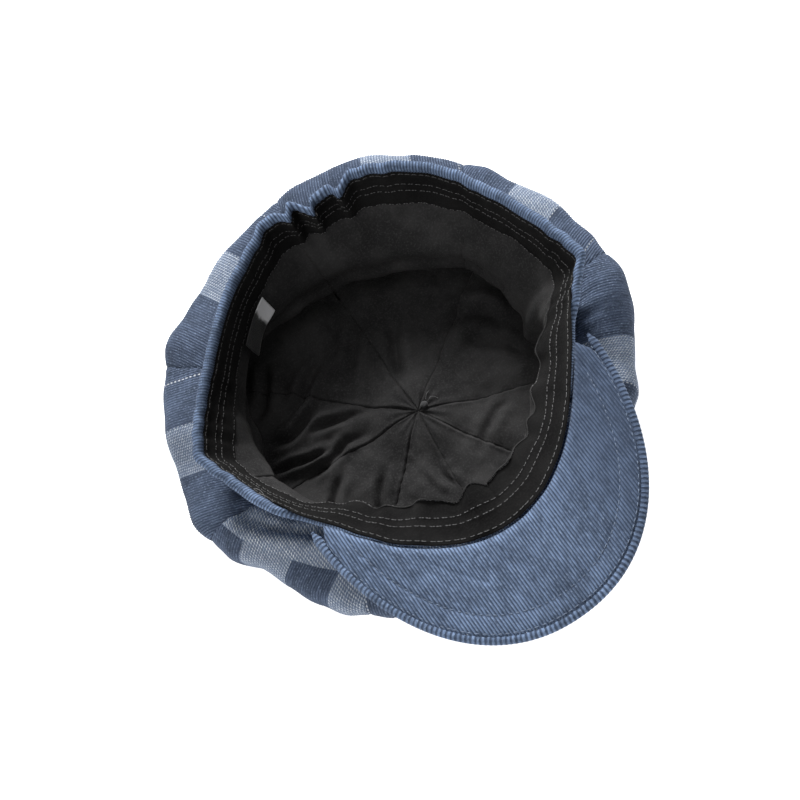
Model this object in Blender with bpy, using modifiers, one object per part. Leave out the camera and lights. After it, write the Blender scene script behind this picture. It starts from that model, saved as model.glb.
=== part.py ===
"""A soft eight-panel newsboy cap, lying upside down on its crown.

Frame: +Z is up, out of the head opening. The cap's front, with the visor, is at -Y, and its
wearer's left and right are on -X and +X as it lies. The origin is the middle of the flat face of
the covered button, which touches the surface that the crown rests on, Z = 0.

The cap is built in layers from the outside in: crown panels, outer band, band stiffener with an
elastic behind, sweatband and lining panels. The visor is a board between two covers with a piped
edge, and it tilts about a line through the temples. Bearings are angles from the front, -Y,
positive towards +X. All lengths below are in millimetres and are turned into metres by MM.
"""
from math import atan2, cos, pi, radians, sin

import bmesh
import bpy
from mathutils import Vector

MM = 0.001
GAP = 0.3  # between pieces that touch on the real cap

# Opening: the top edge of the sweatband, a rounded egg about a centre in front of the button.
RIM_TERMS = (87.3, -7.3, 4.0, 3.0, 3.0)  # mean radius, then the egg, oval and corner terms
RIM_CENTRE_Y = -5.4
RIM_HEIGHT = 68.0
RIM_FRONT_RISE = 4.5

# Band: it leans outward towards its rim, most of all in front, where the visor pulls it open.
BAND_WIDTH = 34.0
LEAN_FRONT, LEAN_SIDE, LEAN_REAR = radians(48), radians(20), radians(6)
BAND_CLOTH = 1.4
BAND_STACK = 4.4  # through outer band, stiffener and sweatband
STIFFENER_THICK = 0.9
STRIP_MARGIN = 1.5  # between the strips and the band's lower edge
FOLD_TOP = 1.2  # how far the middle of the rolled rim lies below the sweatband's edge
FOLD_TUCK = 10.0  # the same in front, where the rim is tucked under the visor
FOLD_LEG = 1.5
FOLD_STEPS = 4
TUCK_OUTSIDE, TUCK_FROM, TUCK_TO = radians(82.5), radians(75), radians(67.5)
REAR_ELASTIC_HALF = radians(30)

# Sweatband: it hangs free below its sewn edge, upright behind and nearly level in front.
SWEATBAND_WIDTH = 22.0
SWEATBAND_CLOTH = 0.8
SWEAT_LEAN_FRONT, SWEAT_LEAN_SIDE = radians(84), radians(24)
SWEAT_LEAN_POWER = 1.3

# Crown: a flat middle on the ground, a puffed side, and a return to the band's lower edge.
CROWN_RADIUS = 114.0
CROWN_REAR_SHIFT = 14.5
CROWN_CLOTH = 1.4
FLAT_SHARE = 0.64  # of the crown's radius at the same bearing
BULGE_POWER = 2.2
BULGE_RISE, BULGE_SHARE = 6.0, 0.62  # the widest place's height, from the seam's height
BULGE_TURN = radians(135)
PANELS = 8
PANEL_COLUMNS = 6
LOWER_STEPS, UPPER_STEPS, LINING_STEPS = 6, 5, 5
SEAM_START = 3.0  # radius where the panels meet under the button
DIMPLE_RADII = (10.0, 28.0)
CROWN_DIMPLE = 5.4

# Lining: the same eight panels, smaller and seamed between the crown's seams.
LINING_CLOTH = 0.6
LINING_FLOOR = 5.2
LINING_DIMPLE = 4.4
LINING_REACH = 0.3  # how far its side swells towards the crown's
LINING_WIDEST = 0.5  # height of its widest place, as a share of the seam's height
LINING_FLAT_SHARE = 0.9
LINING_TURN = radians(-7.5)

# Visor: a crescent whose outer edge is half of a superellipse.
VISOR_HALF_WIDTH = 75.0
VISOR_TIP_Y = -145.0
VISOR_ROOT_Y = -38.0
VISOR_POWER = 2.15
VISOR_SWEEP = radians(64)  # half of the bearing that its inner edge covers
VISOR_CORNER = 0.96  # share of the outline that is left before its pointed ends
VISOR_TIP_HEIGHT = 66.0
VISOR_SIDE_RISE = 3.7
VISOR_ROOT_GAP = 1.6
VISOR_BOARD_THICK = 1.8
VISOR_CLOTH = 1.3
PIPING_RADIUS = 2.1
PIPING_INSET = PIPING_RADIUS + 0.1
HINGE_Y = -36.0
VISOR_STEPS, VISOR_COLUMNS, PIPING_COLUMNS = 5, 20, 32
COVER_REACH = 0.95  # of the piping's reach towards the pointed ends

# Covered button in the middle of the crown.
BUTTON_FLAT, BUTTON_RADIUS, BUTTON_HEIGHT = 6.0, 9.8, 4.4
BUTTON_SLOPE, BUTTON_LIP = 8.7, 1.6  # foot of its rounded side, and width of its turned-in lip
BUTTON_CLOTH = 0.7
BUTTON_SHELL_THICK = 0.5
BACK_DEPTH = 1.4  # how far its back lies inside the lip
THREAD_RADIUS, KNOT_RADIUS, THREAD_HOLE = 1.0, 1.8, 1.5
TURNED_STEPS = 20

# Care label, a folded tape sewn in under the sweatband on the left.
LABEL_BEARING = radians(-151)
LABEL_HALF_ANGLE = radians(6.5)
LABEL_DROP = 12.0
LABEL_SEAM = 2.0  # its sewn edge above the sweatband's lower edge
LABEL_THICK = 0.6
LABEL_SET_IN = 2.4

COLUMNS = 48  # bearings round the whole cap, shared by every ring so that the layers nest

FINISHES = {  # name: colour, roughness, metallic
    "plaid_corduroy": ((0.085, 0.115, 0.19), 0.9, 0.0),
    "blue_corduroy": ((0.075, 0.125, 0.23), 0.9, 0.0),
    "black_cotton": ((0.018, 0.018, 0.019), 0.95, 0.0),
    "black_twill": ((0.015, 0.015, 0.016), 0.9, 0.0),
    "buckram": ((0.62, 0.6, 0.55), 0.95, 0.0),
    "elastic_webbing": ((0.55, 0.55, 0.54), 0.85, 0.0),
    "board_plastic": ((0.75, 0.76, 0.77), 0.5, 0.0),
    "steel": ((0.55, 0.55, 0.56), 0.35, 1.0),
    "nylon": ((0.7, 0.7, 0.68), 0.45, 0.0),
    "thread": ((0.03, 0.035, 0.05), 0.8, 0.0),
    "black_satin": ((0.02, 0.02, 0.022), 0.4, 0.0),
}


# ---------------------------------------------------------------- plain helpers

def clear_scene():
    for item in list(bpy.data.objects):
        bpy.data.objects.remove(item, do_unlink=True)


def smooth_step(value, start, end):
    share = min(1.0, max(0.0, (value - start) / (end - start)))
    return share * share * (3.0 - 2.0 * share)


def direction(bearing):
    """The level unit vector that points outward at this bearing."""
    return Vector((sin(bearing), -cos(bearing), 0.0))


def level(point, height):
    return Vector((point.x, point.y, height))


def spread(first, last, columns):
    """Evenly spaced values, both ends included."""
    return [first + (last - first) * i / columns for i in range(columns + 1)]


def finish_material(name, finish):
    colour, roughness, metallic = FINISHES[finish]
    material = bpy.data.materials.new(name)
    material.use_nodes = True
    shader = material.node_tree.nodes["Principled BSDF"]
    shader.inputs["Base Color"].default_value = (*colour, 1.0)
    shader.inputs["Roughness"].default_value = roughness
    shader.inputs["Metallic"].default_value = metallic
    material.diffuse_color = (*colour, 1.0)
    return material


def new_object(name, data, finish, collection):
    item = bpy.data.objects.new(name, data)
    data.materials.append(finish_material(name + "_finish", finish))
    collection.objects.link(item)
    return item


def add_solidify(item, thickness):
    """Thickens an open surface by this much, all of it behind the faces' normals."""
    shell = item.modifiers.new("cloth_thickness", "SOLIDIFY")
    shell.thickness = thickness * MM
    shell.offset = -1.0
    shell.use_even_offset = False


def loft(name, lines, finish, thickness, collection, closed=False):
    """A sheet through these lines of points, which run side by side, thickened with Solidify.

    Seen with its normal towards the eye, the points of a line run up and the lines follow each
    other from left to right.
    """
    mesh = bmesh.new()
    rows = [[mesh.verts.new(point * MM) for point in line] for line in lines]
    pairs = list(zip(rows, rows[1:]))
    if closed:
        pairs.append((rows[-1], rows[0]))
    for near, far in pairs:
        for i in range(len(near) - 1):
            mesh.faces.new((far[i], far[i + 1], near[i + 1], near[i]))
    data = bpy.data.meshes.new(name)
    mesh.to_mesh(data)
    mesh.free()
    data.shade_smooth()
    item = new_object(name, data, finish, collection)
    add_solidify(item, thickness)
    return item


def turned(name, profile, finish, collection, closed=False, thickness=None):
    """A profile of (radius, height) turned about Z with a Screw modifier."""
    mesh = bmesh.new()
    points = [mesh.verts.new(Vector((radius, 0.0, height)) * MM) for radius, height in profile]
    for start, end in zip(points, points[1:]):
        mesh.edges.new((start, end))
    if closed:
        mesh.edges.new((points[-1], points[0]))
    data = bpy.data.meshes.new(name)
    mesh.to_mesh(data)
    mesh.free()
    item = new_object(name, data, finish, collection)
    screw = item.modifiers.new("turning", "SCREW")
    screw.steps = TURNED_STEPS
    screw.render_steps = TURNED_STEPS
    screw.use_merge_vertices = True
    screw.merge_threshold = 0.00001
    screw.use_smooth_shade = False
    if thickness:
        add_solidify(item, thickness)
    return item


# ---------------------------------------------------------------- shape of the cap

def rim_point(bearing):
    """On the sweatband's top edge, the line that the opening is measured on."""
    radius = sum(term * cos(k * bearing) for k, term in enumerate(RIM_TERMS))
    height = RIM_HEIGHT + RIM_FRONT_RISE * cos(bearing)
    return Vector((0.0, RIM_CENTRE_Y, height)) + direction(bearing) * radius


def band_lean(bearing):
    """How far the band leans outward from upright at this bearing."""
    forward = cos(bearing)
    end = LEAN_FRONT if forward > 0 else LEAN_REAR
    return LEAN_SIDE + (end - LEAN_SIDE) * forward * forward


def sweatband_lean(bearing):
    forward = cos(bearing)
    if forward > 0:
        return SWEAT_LEAN_SIDE + (SWEAT_LEAN_FRONT - SWEAT_LEAN_SIDE) * forward**SWEAT_LEAN_POWER
    return SWEAT_LEAN_SIDE + (LEAN_REAR - SWEAT_LEAN_SIDE) * forward * forward


def sloping_point(bearing, lean, drop, depth):
    """A place on a slope that leans outward: drop down it from the rim, depth outward from it."""
    outward = direction(bearing)
    upward = Vector((0.0, 0.0, 1.0))
    slope = outward * sin(lean) + upward * cos(lean)
    normal = outward * cos(lean) - upward * sin(lean)
    return rim_point(bearing) - slope * drop + normal * depth


def band_point(bearing, drop, depth):
    """A place in the band, with depth counted outward from the sweatband's inner face."""
    return sloping_point(bearing, band_lean(bearing), drop, depth)


def sweatband_point(bearing, drop, depth=0.0):
    return sloping_point(bearing, sweatband_lean(bearing), drop, depth)


def crown_radius(bearing):
    return CROWN_RADIUS - CROWN_REAR_SHIFT * cos(bearing)


def bulge_height(seam):
    """Height of the widest place of the crown's side, under a seam of this height."""
    return BULGE_RISE + BULGE_SHARE * seam.z


def dimple(radius, floor, depth):
    """Height of a middle that lifts by depth round the button."""
    inner, outer = DIMPLE_RADII
    share = min(1.0, max(0.0, (radius - inner) / (outer - inner)))
    return floor + depth * (1.0 + cos(pi * share)) / 2.0


def lower_side(edge, widest, floor, steps):
    """The rounded lower side, a quarter of a superellipse from the flat's edge to the widest."""
    points = []
    for i in range(1, steps + 1):
        turn = pi / 2 * i / steps
        reach = sin(turn) ** (2 / BULGE_POWER)
        rise = 1.0 - max(0.0, cos(turn)) ** (2 / BULGE_POWER)
        points.append(level(edge.lerp(widest, reach), floor + (widest.z - floor) * rise))
    return points


def upper_side(widest, seam, steps):
    """From the widest place over the puffed top and down to the seam with the band."""
    puff = (seam.z - widest.z) / sin(BULGE_TURN)
    points = []
    for i in range(1, steps + 1):
        turn = BULGE_TURN * i / steps
        share = (1.0 - cos(turn)) / (1.0 - cos(BULGE_TURN))
        points.append(level(widest.lerp(seam, share), widest.z + puff * sin(turn)))
    return points


def middle(bearing, edge_radius, floor, depth):
    """The dimpled middle and the flat, out to the edge of the flat."""
    inner, outer = DIMPLE_RADII
    radii = (SEAM_START, inner, (inner + outer) / 2, outer, edge_radius)
    return [level(direction(bearing) * r, dimple(r, floor, depth)) for r in radii]


def crown_line(bearing):
    """The crown's outer face along one bearing, from the button to the band."""
    flat_radius = FLAT_SHARE * crown_radius(bearing)
    edge = direction(bearing) * flat_radius
    seam = band_point(bearing, BAND_WIDTH, BAND_STACK) + direction(bearing) * GAP
    seam.z -= 2 * GAP
    widest = level(direction(bearing) * crown_radius(bearing), bulge_height(seam))
    line = middle(bearing, flat_radius, 0.0, CROWN_DIMPLE)
    return line + lower_side(edge, widest, 0.0, LOWER_STEPS) + upper_side(widest, seam, UPPER_STEPS)


def lining_line(bearing):
    """The lining's inner face along one bearing, from the middle to the sweatband's lower edge."""
    flat_radius = LINING_FLAT_SHARE * FLAT_SHARE * crown_radius(bearing)
    edge = direction(bearing) * flat_radius
    seam = band_point(bearing, BAND_WIDTH + 3 * GAP, 0.0)
    outer = direction(bearing) * crown_radius(bearing)
    widest = level(level(seam, 0.0).lerp(outer, LINING_REACH), LINING_WIDEST * seam.z)
    floor = LINING_FLOOR + LINING_CLOTH
    line = middle(bearing, flat_radius, floor, LINING_DIMPLE)
    line += lower_side(edge, widest, floor, LINING_STEPS)
    below = level(seam, (seam.z + widest.z) / 2)
    steps = [i / 3 for i in (1, 2, 3)]
    line += [widest.lerp(below, t).lerp(below.lerp(seam, t), t) for t in steps]
    return line + [sweatband_point(bearing, SWEATBAND_WIDTH + 3 * GAP)]


def pull_from_seams(lines):
    """Draws the first and last lines of a panel in, so that half a seam's gap is left."""
    for index, neighbour in ((0, 1), (-1, -2)):
        for i, point in enumerate(lines[index]):
            inward = level(lines[neighbour][i] - point, 0.0).normalized()
            lines[index][i] = point + inward * GAP


# ---------------------------------------------------------------- soft cap

def make_panels(collection):
    span = 2 * pi / PANELS
    for index in range(PANELS):
        first = index * span
        lines = [crown_line(b) for b in spread(first, first + span, PANEL_COLUMNS)]
        pull_from_seams(lines)
        name = "crown_panel_%d" % (index + 1)
        loft(name, lines, "plaid_corduroy", CROWN_CLOTH, collection)
    for index in range(PANELS):
        first = index * span + LINING_TURN
        lines = [lining_line(b) for b in spread(first, first + span, PANEL_COLUMNS)]
        pull_from_seams(lines)
        lines.reverse()
        name = "lining_panel_%d" % (index + 1)
        loft(name, lines, "black_cotton", LINING_CLOTH, collection)


def off_front(bearing):
    """The angle from the front, either way."""
    return abs(atan2(sin(bearing), cos(bearing)))


def fold_drop(bearing):
    """How far down the rolled rim lies: it is tucked away under the visor in front."""
    share = smooth_step(off_front(bearing), TUCK_TO, TUCK_FROM)
    return FOLD_TUCK + (FOLD_TOP - FOLD_TUCK) * share


def fold_inside(bearing):
    """Depth of the rolled rim's inner side, which in front stays outside the sweatband."""
    share = smooth_step(off_front(bearing), TUCK_FROM, TUCK_OUTSIDE)
    return (SWEATBAND_CLOTH + GAP) * (1.0 - share)


def band_line(bearing):
    """The outer band's face: up the outside, over the rolled rim and a little way down inside."""
    top = fold_drop(bearing)
    inside = fold_inside(bearing)
    roll = (BAND_STACK - inside) / 2
    drops = [BAND_WIDTH, (2 * BAND_WIDTH + top) / 3, (BAND_WIDTH + 2 * top) / 3, top]
    line = [band_point(bearing, drop, BAND_STACK) for drop in drops]
    for i in range(1, FOLD_STEPS + 1):
        turn = pi * i / FOLD_STEPS
        depth = inside + roll + roll * cos(turn)
        line.append(band_point(bearing, top - roll * sin(turn), depth))
    return line + [band_point(bearing, top + FOLD_LEG, inside)]


def make_band(collection):
    ring = spread(0.0, 2 * pi, COLUMNS)[:-1]
    lines = [band_line(b) for b in ring]
    loft("outer_band", lines, "blue_corduroy", BAND_CLOTH, collection, closed=True)

    top = FOLD_TOP + FOLD_LEG + GAP
    lines = []
    for b in reversed(ring):
        drops = spread(SWEATBAND_WIDTH, sweatband_top(b, top), 3)
        lines.append([sweatband_point(b, drop) for drop in drops])
    loft("sweatband", lines, "black_twill", SWEATBAND_CLOTH, collection, closed=True)


def sweatband_top(bearing, folded_top):
    """The sweatband ends under the rolled rim, and in front it reaches the visor's seam."""
    return folded_top * smooth_step(off_front(bearing), TUCK_TO, TUCK_FROM)


def strip(name, first, last, columns, finish, collection):
    """A strip of tape in the pocket between the outer band and the sweatband."""
    front = SWEATBAND_CLOTH + (BAND_STACK - BAND_CLOTH - SWEATBAND_CLOTH + STIFFENER_THICK) / 2
    low = BAND_WIDTH - STRIP_MARGIN
    lines = []
    for b in spread(first, last, columns):
        high = fold_drop(b) + BAND_STACK / 2
        drops = [low, (low + high) / 2, high]
        lines.append([band_point(b, drop, front) for drop in drops])
    loft(name, lines, finish, STIFFENER_THICK, collection)


def make_strips(collection):
    step = 2 * pi / COLUMNS
    rear = REAR_ELASTIC_HALF
    stiffener_columns = COLUMNS - round(2 * rear / step) - 2
    ends = pi - rear - step
    strip("band_stiffener", -ends, ends, stiffener_columns, "buckram", collection)
    columns = round(2 * rear / step)
    strip("rear_elastic", pi - rear, pi + rear, columns, "elastic_webbing", collection)


# ---------------------------------------------------------------- visor

def visor_outline(share, inset):
    """The visor's outer edge at a share from -1 to 1 of the way across, drawn in by inset."""
    turn = share * pi / 2
    width = VISOR_HALF_WIDTH - inset
    depth = VISOR_ROOT_Y - VISOR_TIP_Y - inset
    across = abs(sin(turn)) ** (2 / VISOR_POWER) * (1 if share > 0 else -1)
    forward = max(0.0, cos(turn)) ** (2 / VISOR_POWER)
    height = VISOR_TIP_HEIGHT + VISOR_SIDE_RISE * share * share
    return Vector((width * across, VISOR_ROOT_Y - depth * forward, height))


def visor_line(share, lift):
    """One line of a visor layer, from the rim to the piping, raised by lift."""
    bearing = share * VISOR_SWEEP
    root = rim_point(bearing) + direction(bearing) * VISOR_ROOT_GAP
    edge = visor_outline(share, PIPING_INSET + PIPING_RADIUS + GAP)
    raised = Vector((0.0, 0.0, lift))
    return [root.lerp(edge, i / VISOR_STEPS) + raised for i in range(VISOR_STEPS + 1)]


def make_visor(collection, hinge):
    reach = VISOR_CORNER * COVER_REACH
    shares = spread(reach, -reach, VISOR_COLUMNS)
    board_top = VISOR_BOARD_THICK / 2
    layers = (
        ("visor_under_cover", board_top + GAP + VISOR_CLOTH, VISOR_CLOTH, "blue_corduroy"),
        ("visor_board", board_top, VISOR_BOARD_THICK, "board_plastic"),
        ("visor_top_cover", -board_top - GAP, VISOR_CLOTH, "blue_corduroy"),
    )
    for name, lift, thickness, finish in layers:
        lines = [visor_line(share, lift) for share in shares]
        item = loft(name, lines, finish, thickness, collection)
        parent_to(item, hinge)
    shares = spread(-VISOR_CORNER, VISOR_CORNER, PIPING_COLUMNS)
    points = [visor_outline(share, PIPING_INSET) for share in shares]
    parent_to(tube("visor_edge_piping", points, PIPING_RADIUS, collection), hinge)


def tube(name, points, radius, collection):
    curve = bpy.data.curves.new(name, "CURVE")
    curve.dimensions = "3D"
    curve.bevel_depth = radius * MM
    curve.bevel_resolution = 2
    curve.use_fill_caps = True
    spline = curve.splines.new("POLY")
    spline.points.add(len(points) - 1)
    for place, point in zip(spline.points, points):
        place.co = (*(point * MM), 1.0)
    return new_object(name, curve, "blue_corduroy", collection)


def parent_to(item, hinge):
    """Hangs a piece on a hinge and keeps it where it is."""
    item.parent = hinge
    item.matrix_parent_inverse = hinge.matrix_world.inverted()


def make_hinge(name, place, collection):
    hinge = bpy.data.objects.new(name, None)
    hinge.location = place * MM
    hinge.empty_display_size = 0.02
    collection.objects.link(hinge)
    bpy.context.view_layer.update()
    return hinge


# ---------------------------------------------------------------- button and label

def make_button(collection):
    cover = [
        (BUTTON_RADIUS - BUTTON_LIP, BUTTON_HEIGHT),
        (BUTTON_RADIUS - BUTTON_LIP / 3, BUTTON_HEIGHT - 0.2),
        (BUTTON_RADIUS, BUTTON_HEIGHT - 1.0),
        (BUTTON_RADIUS - 0.4, 1.7),
        (BUTTON_SLOPE, 0.5),
        (BUTTON_FLAT, 0.0),
        (0.0, 0.0),
    ]
    turned("button_cover", cover, "plaid_corduroy", collection, thickness=BUTTON_CLOTH)
    inside = BUTTON_CLOTH + GAP
    high = BUTTON_HEIGHT - BACK_DEPTH
    shell = [
        (BUTTON_RADIUS - inside - 0.2, high),
        (BUTTON_RADIUS - inside - 0.4, high - 0.9),
        (BUTTON_SLOPE - 0.6, high - 1.6),
        (BUTTON_FLAT - 0.6, inside),
        (0.0, inside),
    ]
    turned("button_shell", shell, "steel", collection, thickness=BUTTON_SHELL_THICK)
    low = inside + BUTTON_SHELL_THICK + 2 * GAP
    back = [(THREAD_HOLE, high), (BUTTON_FLAT, high), (BUTTON_FLAT, low), (THREAD_HOLE, low)]
    turned("button_back", back, "nylon", collection, closed=True)
    knot = LINING_FLOOR + LINING_CLOTH + LINING_DIMPLE + GAP
    thread = [
        (0.0, knot + 2.0),
        (KNOT_RADIUS * 0.7, knot + 1.6),
        (KNOT_RADIUS, knot + 0.8),
        (KNOT_RADIUS * 0.8, knot),
        (THREAD_RADIUS, knot - 0.4),
        (THREAD_RADIUS, low),
        (0.0, low),
    ]
    turned("button_thread", thread, "thread", collection)


def make_label(collection):
    top = SWEATBAND_WIDTH - LABEL_SEAM
    lines = []
    for b in spread(LABEL_BEARING + LABEL_HALF_ANGLE, LABEL_BEARING - LABEL_HALF_ANGLE, 3):
        drops = [top + LABEL_DROP, top + LABEL_DROP / 2, top]
        lines.append([sweatband_point(b, drop, -LABEL_SET_IN) for drop in drops])
    label = loft("care_label", lines, "black_satin", LABEL_THICK, collection)
    place = sweatband_point(LABEL_BEARING, top, -LABEL_SET_IN)
    hinge = make_hinge("label_hinge", place, collection)
    parent_to(label, hinge)


def main():
    clear_scene()
    collection = bpy.data.collections.new("newsboy_cap")
    bpy.context.scene.collection.children.link(collection)
    make_panels(collection)
    make_band(collection)
    make_strips(collection)
    hinge_height = rim_point(VISOR_SWEEP).z
    visor_hinge = make_hinge("visor_hinge", Vector((0.0, HINGE_Y, hinge_height)), collection)
    make_visor(collection, visor_hinge)
    make_button(collection)
    make_label(collection)


main()
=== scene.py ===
"""The looks of a soft eight-panel newsboy cap that lies upside down on its crown.

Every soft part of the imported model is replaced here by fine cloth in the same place. The cloth
follows the same formulas as the model: bearings are angles from the front, -Y, positive towards
+X, and lengths are in millimetres, turned into metres by MM. Each cloth carries a UV map named
"cloth" with its flat coordinates in metres, which its ribs, plaid and weave follow.
"""
from math import cos, pi, radians, sin

import bpy
import numpy as np
from mathutils import Matrix, Vector


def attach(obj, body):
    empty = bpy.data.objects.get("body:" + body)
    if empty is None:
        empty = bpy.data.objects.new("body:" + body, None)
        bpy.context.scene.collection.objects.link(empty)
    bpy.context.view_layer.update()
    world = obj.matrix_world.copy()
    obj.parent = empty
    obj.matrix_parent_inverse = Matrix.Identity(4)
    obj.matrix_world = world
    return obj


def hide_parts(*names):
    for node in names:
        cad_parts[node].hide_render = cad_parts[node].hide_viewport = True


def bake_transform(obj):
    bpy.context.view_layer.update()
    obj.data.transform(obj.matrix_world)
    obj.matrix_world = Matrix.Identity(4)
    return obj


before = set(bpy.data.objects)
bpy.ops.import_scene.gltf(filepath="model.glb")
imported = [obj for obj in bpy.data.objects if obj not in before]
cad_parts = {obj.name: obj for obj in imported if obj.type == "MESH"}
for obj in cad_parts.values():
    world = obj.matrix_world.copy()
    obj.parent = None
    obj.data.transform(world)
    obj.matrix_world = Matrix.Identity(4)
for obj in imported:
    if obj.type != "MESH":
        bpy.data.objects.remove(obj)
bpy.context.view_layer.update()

MM = 0.001
TAU = 2 * pi
UP = np.array([0.0, 0.0, 1.0])

# Shape of the cap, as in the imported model.
RIM_TERMS = (87.3, -7.3, 4.0, 3.0, 3.0)
RIM_CENTRE_Y = -5.4
RIM_HEIGHT, RIM_FRONT_RISE = 68.0, 4.5
BAND_WIDTH, BAND_STACK = 34.0, 4.4
LEAN_FRONT, LEAN_SIDE, LEAN_REAR = radians(48), radians(20), radians(6)
FOLD_TOP, FOLD_TUCK, FOLD_LEG = 1.2, 10.0, 1.5
TUCK_OUTSIDE, TUCK_FROM, TUCK_TO = radians(82.5), radians(75), radians(67.5)
REAR_ELASTIC_HALF = radians(30)
SWEATBAND_WIDTH, SWEATBAND_CLOTH = 22.0, 0.8
SWEAT_LEAN_FRONT, SWEAT_LEAN_SIDE, SWEAT_LEAN_POWER = radians(84), radians(24), 1.3
STIFFENER_THICK, STIFFENER_DEPTH = 0.9, 2.3
CROWN_RADIUS, CROWN_REAR_SHIFT = 114.0, 14.5
FLAT_SHARE, BULGE_POWER, BULGE_TURN = 0.64, 2.2, radians(135)
BULGE_RISE, BULGE_SHARE = 6.0, 0.62
PANELS = 8
SEAM_START = 3.0
DIMPLE_RADII = (10.0, 28.0)
CROWN_DIMPLE, LINING_DIMPLE = 5.4, 4.4
LINING_FLOOR = 5.8
LINING_REACH, LINING_WIDEST, LINING_FLAT_SHARE = 0.3, 0.5, 0.9
VISOR_HALF_WIDTH, VISOR_TIP_Y, VISOR_ROOT_Y = 75.0, -145.0, -38.0
VISOR_POWER, VISOR_SWEEP, VISOR_CORNER = 2.15, radians(64), 0.96
VISOR_TIP_HEIGHT, VISOR_SIDE_RISE, VISOR_ROOT_GAP = 66.0, 3.7, 1.6
VISOR_BOARD_THICK, PIPING_RADIUS = 1.8, 2.1
PIPING_INSET = PIPING_RADIUS + 0.1
COVER_INSET = PIPING_INSET + 1.0
BUTTON_FLAT, BUTTON_RADIUS, BUTTON_HEIGHT, BUTTON_CLOTH = 6.0, 9.8, 4.4, 0.7
LABEL_BEARING, LABEL_HALF_ANGLE = radians(-151), radians(6.5)
LABEL_DROP, LABEL_SEAM, LABEL_SET_IN = 12.0, 2.0, 2.4

# Cloth.
WALE = 1.35  # from rib to rib of the corduroy
VISOR_RIB_HEIGHT, PLAIN_RIB_HEIGHT = 0.17, 0.21
RIB_COLUMNS, BAND_RIB_COLUMNS = 6, 5  # mesh columns to each rib
CORDUROY_THICK = 1.1
FLECK_PITCH, DOT_PITCH = 1.5, 2.2  # of the plaid's flecks and dotted lines, along the ribs
BLOCK = 25.0  # one block of the plaid
PLAID_ORDER = (0, 0, 1, 0, 0, 0, 1, 0, 1, 0, 0, 0)  # grey blocks are 1, across the cloth
LINING_CENTRE_X = -4.0  # the lining's seams meet a little left of the button

# Colours, linear.
BLUE = (0.117, 0.164, 0.258)
# Dark blue of painted shade: in the corduroy's furrows, and towards +X on one kind.
BLUE_PAINTED_SHADE = (0.024, 0.034, 0.058)
BLUE_LIGHT = (0.25, 0.32, 0.44)
NAVY = (0.060, 0.079, 0.122)
GREY_FLECK = (0.70, 0.73, 0.76)
BLACK = (0.0275, 0.0272, 0.0278)
BLACK_WARM = (0.0390, 0.0382, 0.0385)
THREAD_GREY = (0.12, 0.12, 0.122)


# ---------------------------------------------------------------- numbers

def smooth(value, start, end):
    share = np.clip((value - start) / (end - start), 0.0, 1.0)
    return share * share * (3.0 - 2.0 * share)


def bump(value, middle, width):
    return np.exp(-(((value - middle) / width) ** 2))


def eased(value, nodes):
    """Runs smoothly from node to node; each node is a value and its result."""
    places, results = np.array(nodes, float).T
    index = np.clip(np.searchsorted(places, value) - 1, 0, len(places) - 2)
    share = smooth(value, places[index], places[index + 1])
    return results[index] + (results[index + 1] - results[index]) * share


def waves(across, along, length, seed, count=7):
    """Soft unevenness between about -1 and 1, with waves of about this length."""
    chance = np.random.default_rng(seed)
    total = 0.0
    for _ in range(count):
        turn = chance.uniform(0, TAU)
        size = TAU / (length * chance.uniform(0.7, 1.6))
        phase = chance.uniform(0, TAU)
        total = total + np.sin((across * cos(turn) + along * sin(turn)) * size + phase)
    return total / count * 1.6


def level_waves(points, length, seed):
    return waves(points[..., 0], points[..., 1], length, seed)


def degrees_round(bearing):
    """The bearing in degrees from 0 to 360."""
    return np.degrees(bearing) % 360.0


def off_front(bearing):
    """The bearing's size, from 0 at the front to pi at the rear."""
    return np.abs(np.arctan2(np.sin(bearing), np.cos(bearing)))


def stack(x, y, z):
    return np.stack(np.broadcast_arrays(x, y, z), -1).astype(float)


def pairs(across, along):
    return np.stack(np.broadcast_arrays(across, along), -1)


def with_height(points, height):
    return stack(points[..., 0], points[..., 1], height)


def above(points, height):
    return with_height(points, np.maximum(points[..., 2], height))


def mix(a, b, share):
    share = np.asarray(share)[..., None]
    return a + (b - a) * share


def length_along(points):
    """Distance along axis 0 of an array of points, starting at 0."""
    steps = np.linalg.norm(np.diff(points, axis=0), axis=-1)
    return np.concatenate([np.zeros((1,) + steps.shape[1:]), np.cumsum(steps, 0)])


def even_rows(points, rows):
    """Redraws each column of points with this many evenly spaced rows."""
    along = length_along(points)
    result = np.empty((rows,) + points.shape[1:])
    for column in range(points.shape[1]):
        distance = along[:, column]
        wanted = np.linspace(0, distance[-1], rows)
        for axis in range(3):
            result[:, column, axis] = np.interp(wanted, distance, points[:, column, axis])
    return result


def unit(vectors):
    return vectors / np.maximum(np.linalg.norm(vectors, axis=-1, keepdims=True), 1e-9)


def cloth_area(points):
    """Area of the surface through a grid of points."""
    down, across = np.diff(points, axis=0), np.diff(points, axis=1)
    first = np.cross(down[:, :-1], across[:-1])
    second = np.cross(down[:, 1:], across[1:])
    return float(np.linalg.norm(first, axis=-1).sum() + np.linalg.norm(second, axis=-1).sum()) / 2


def grid_normals(points, wrap=False):
    """Unit normals of a grid of points, on the side that rows x columns point to."""
    if wrap:
        padded = np.concatenate([points[:, -1:], points, points[:, :1]], 1)
        across = (padded[:, 2:] - padded[:, :-2]) / 2
    else:
        across = np.gradient(points, axis=1)
    return unit(np.cross(np.gradient(points, axis=0), across))


# ---------------------------------------------------------------- shape of the cap

def direction(bearing):
    return stack(np.sin(bearing), -np.cos(bearing), 0.0)


def outward_by(bearing, reach):
    return direction(bearing) * reach[..., None]


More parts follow.
